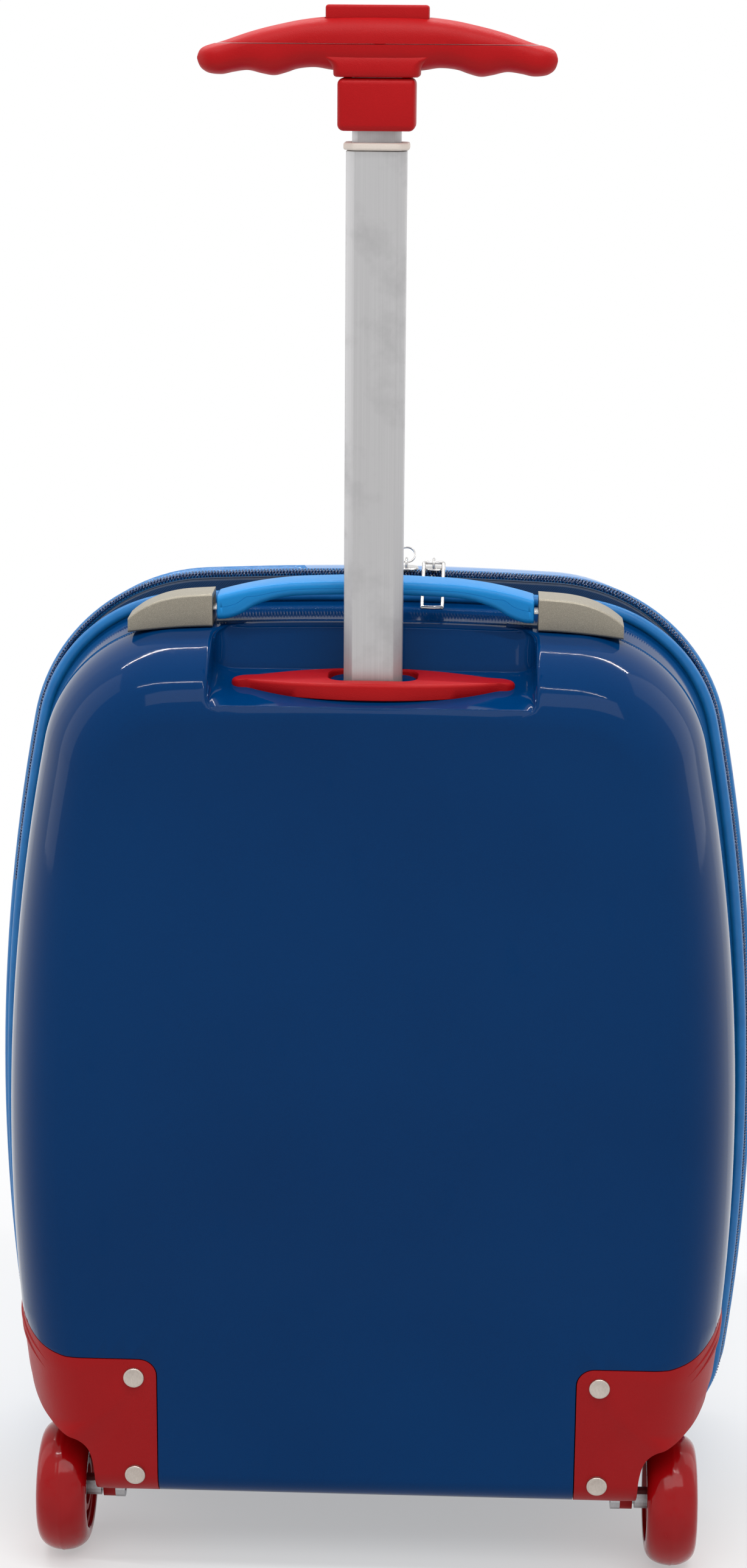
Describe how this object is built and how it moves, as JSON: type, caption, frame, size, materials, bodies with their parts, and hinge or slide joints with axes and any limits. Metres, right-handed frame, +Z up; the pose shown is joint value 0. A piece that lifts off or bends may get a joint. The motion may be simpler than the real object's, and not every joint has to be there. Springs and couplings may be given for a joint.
{
  "type": "kids suitcase",
  "caption": "Child's hard-shell rolling suitcase with a telescoping pull pole, T grip, carry handle, zip-round lid and two rear wheels.",
  "frame": {"origin": "centre of the bounding box on the floor plane", "axes": "+Z up along the pull pole, -Y towards the wheels and pole (the side seen in the picture), +Y towards the lid, +X to the right as seen from -Y"},
  "size_m": [0.3628, 0.204, 0.7134],
  "materials": {
    "shell_blue": "glossy dark blue, moulded",
    "lid_blue": "glossy azure, moulded",
    "welt_blue": "satin azure piping",
    "tape_blue": "woven zip tape",
    "grip_red": "fine grained, deep red",
    "wheel_red": "glossy polyurethane, deep red",
    "hub_red": "glossy, deep red",
    "handle_blue": "satin azure",
    "cap_pewter": "satin champagne grey",
    "pole_metal": "satin anodised",
    "bright_metal": "bright, slightly brushed",
    "steel": "plain steel",
    "cream_plastic": "satin cream",
    "black_plastic": "satin black",
    "lining_grey": "thin woven lining"
  },
  "bodies": {
    "case": {"rear_shell": "shell_blue", "rear_lining": "lining_grey", "rear_welt": "welt_blue", "rear_zip_tape": "tape_blue", "rear_zip_coil": "tape_blue", "gusset_rear": "tape_blue", "pole_housing": "steel", "pole_foot_bracket": "black_plastic", "pole_cover": "black_plastic", "packing_strap": "black_plastic", "bezel": "grip_red", "handle_cap_left": "cap_pewter", "handle_cap_right": "cap_pewter", "wheel_housing_left": "grip_red", "wheel_housing_right": "grip_red", "rivet_left_upper": "bright_metal", "rivet_left_lower": "bright_metal", "rivet_right_upper": "bright_metal", "rivet_right_lower": "bright_metal", "axle_left": "steel", "axle_right": "steel", "axle_spacer_left": "steel", "axle_spacer_right": "steel", "axle_nut_left": "steel", "axle_nut_right": "steel"},
    "lid": {"lid_shell": "lid_blue", "lid_lining": "lining_grey", "lid_welt": "welt_blue", "lid_zip_tape": "tape_blue", "lid_zip_coil": "tape_blue", "gusset_lid": "tape_blue", "front_foot_left": "black_plastic", "front_foot_right": "black_plastic"},
    "wheel_left": {"tyre_left": "wheel_red", "hub_left": "hub_red", "bearing_left": "steel"},
    "wheel_right": {"tyre_right": "wheel_red", "hub_right": "hub_red", "bearing_right": "steel"},
    "pole_lower": {"pole_middle_tube": "pole_metal", "middle_guide_block": "black_plastic", "pole_collar": "cream_plastic"},
    "pole_upper": {"pole_inner_tube": "pole_metal", "inner_guide_block": "black_plastic", "grip_neck": "grip_red", "grip_bottom": "grip_red", "grip_top": "grip_red", "button_spring": "steel"},
    "button": {"push_button": "grip_red", "push_rod": "steel"},
    "lower_pin": {"middle_lock_pin": "steel"},
    "upper_pin": {"inner_lock_pin": "steel"},
    "handle": {"carry_handle": "handle_blue", "handle_tongue_left": "bright_metal", "handle_tongue_right": "bright_metal"},
    "slider_left": {"zip_slider_left": "bright_metal"},
    "slider_right": {"zip_slider_right": "bright_metal"},
    "ring": {"zip_ring": "bright_metal"},
    "pull": {"zip_pull": "bright_metal"}
  },
  "joints": [
    {"name": "lid_hinge", "type": "hinge", "parent": "case", "child": "lid", "pos_m": [-0.184, -0.001, 0.24], "axis": [0, 0, 1], "range_deg": [0, 180]},
    {"name": "wheel_left_spin", "type": "hinge", "parent": "case", "child": "wheel_left", "pos_m": [-0.1433, -0.071, 0.031], "axis": [1, 0, 0], "continuous": true},
    {"name": "wheel_right_spin", "type": "hinge", "parent": "case", "child": "wheel_right", "pos_m": [0.1433, -0.071, 0.031], "axis": [1, 0, 0], "continuous": true},
    {"name": "pole_lower_slide", "type": "slide", "parent": "case", "child": "pole_lower", "axis": [0, 0, 1], "range_m": [-0.224, 0]},
    {"name": "pole_upper_slide", "type": "slide", "parent": "pole_lower", "child": "pole_upper", "axis": [0, 0, 1], "range_m": [0, 0.2]},
    {"name": "button_press", "type": "slide", "parent": "pole_upper", "child": "button", "axis": [0, 0, 1], "range_m": [-0.004, 0], "stiffness_N_per_m": 1000, "springref_m": 0.0012, "deforming": ["button_spring"]},
    {"name": "lower_pin_slide", "type": "slide", "parent": "pole_lower", "child": "lower_pin", "axis": [0, 1, 0], "range_m": [-0.002, 0]},
    {"name": "upper_pin_slide", "type": "slide", "parent": "pole_upper", "child": "upper_pin", "axis": [0, 1, 0], "range_m": [-0.002, 0]},
    {"name": "carry_handle_lift", "type": "slide", "parent": "case", "child": "handle", "axis": [0, 0, 1], "range_m": [0, 0.0035]},
    {"name": "slider_left_run", "type": "hinge", "parent": "case", "child": "slider_left", "pos_m": [0, -0.001, -1.1411], "axis": [0, 1, 0], "range_deg": [-3.1, 0]},
    {"name": "slider_right_run", "type": "hinge", "parent": "case", "child": "slider_right", "pos_m": [0, -0.001, -1.1411], "axis": [0, 1, 0], "range_deg": [0, 0.7]},
    {"name": "ring_swing", "type": "hinge", "parent": "slider_left", "child": "ring", "pos_m": [0.0124, -0.001, 0.4657], "axis": [1, 0, 0], "range_deg": [-40, 80]},
    {"name": "pull_swing", "type": "hinge", "parent": "slider_right", "child": "pull", "pos_m": [0.025, -0.001, 0.4655], "axis": [1, 0, 0], "range_deg": [-9, 0]}
  ],
  "couplings": [
    {"joint": "lower_pin_slide", "follows": "button_press", "ratio": 0.5},
    {"joint": "upper_pin_slide", "follows": "button_press", "ratio": 0.5}
  ]
}
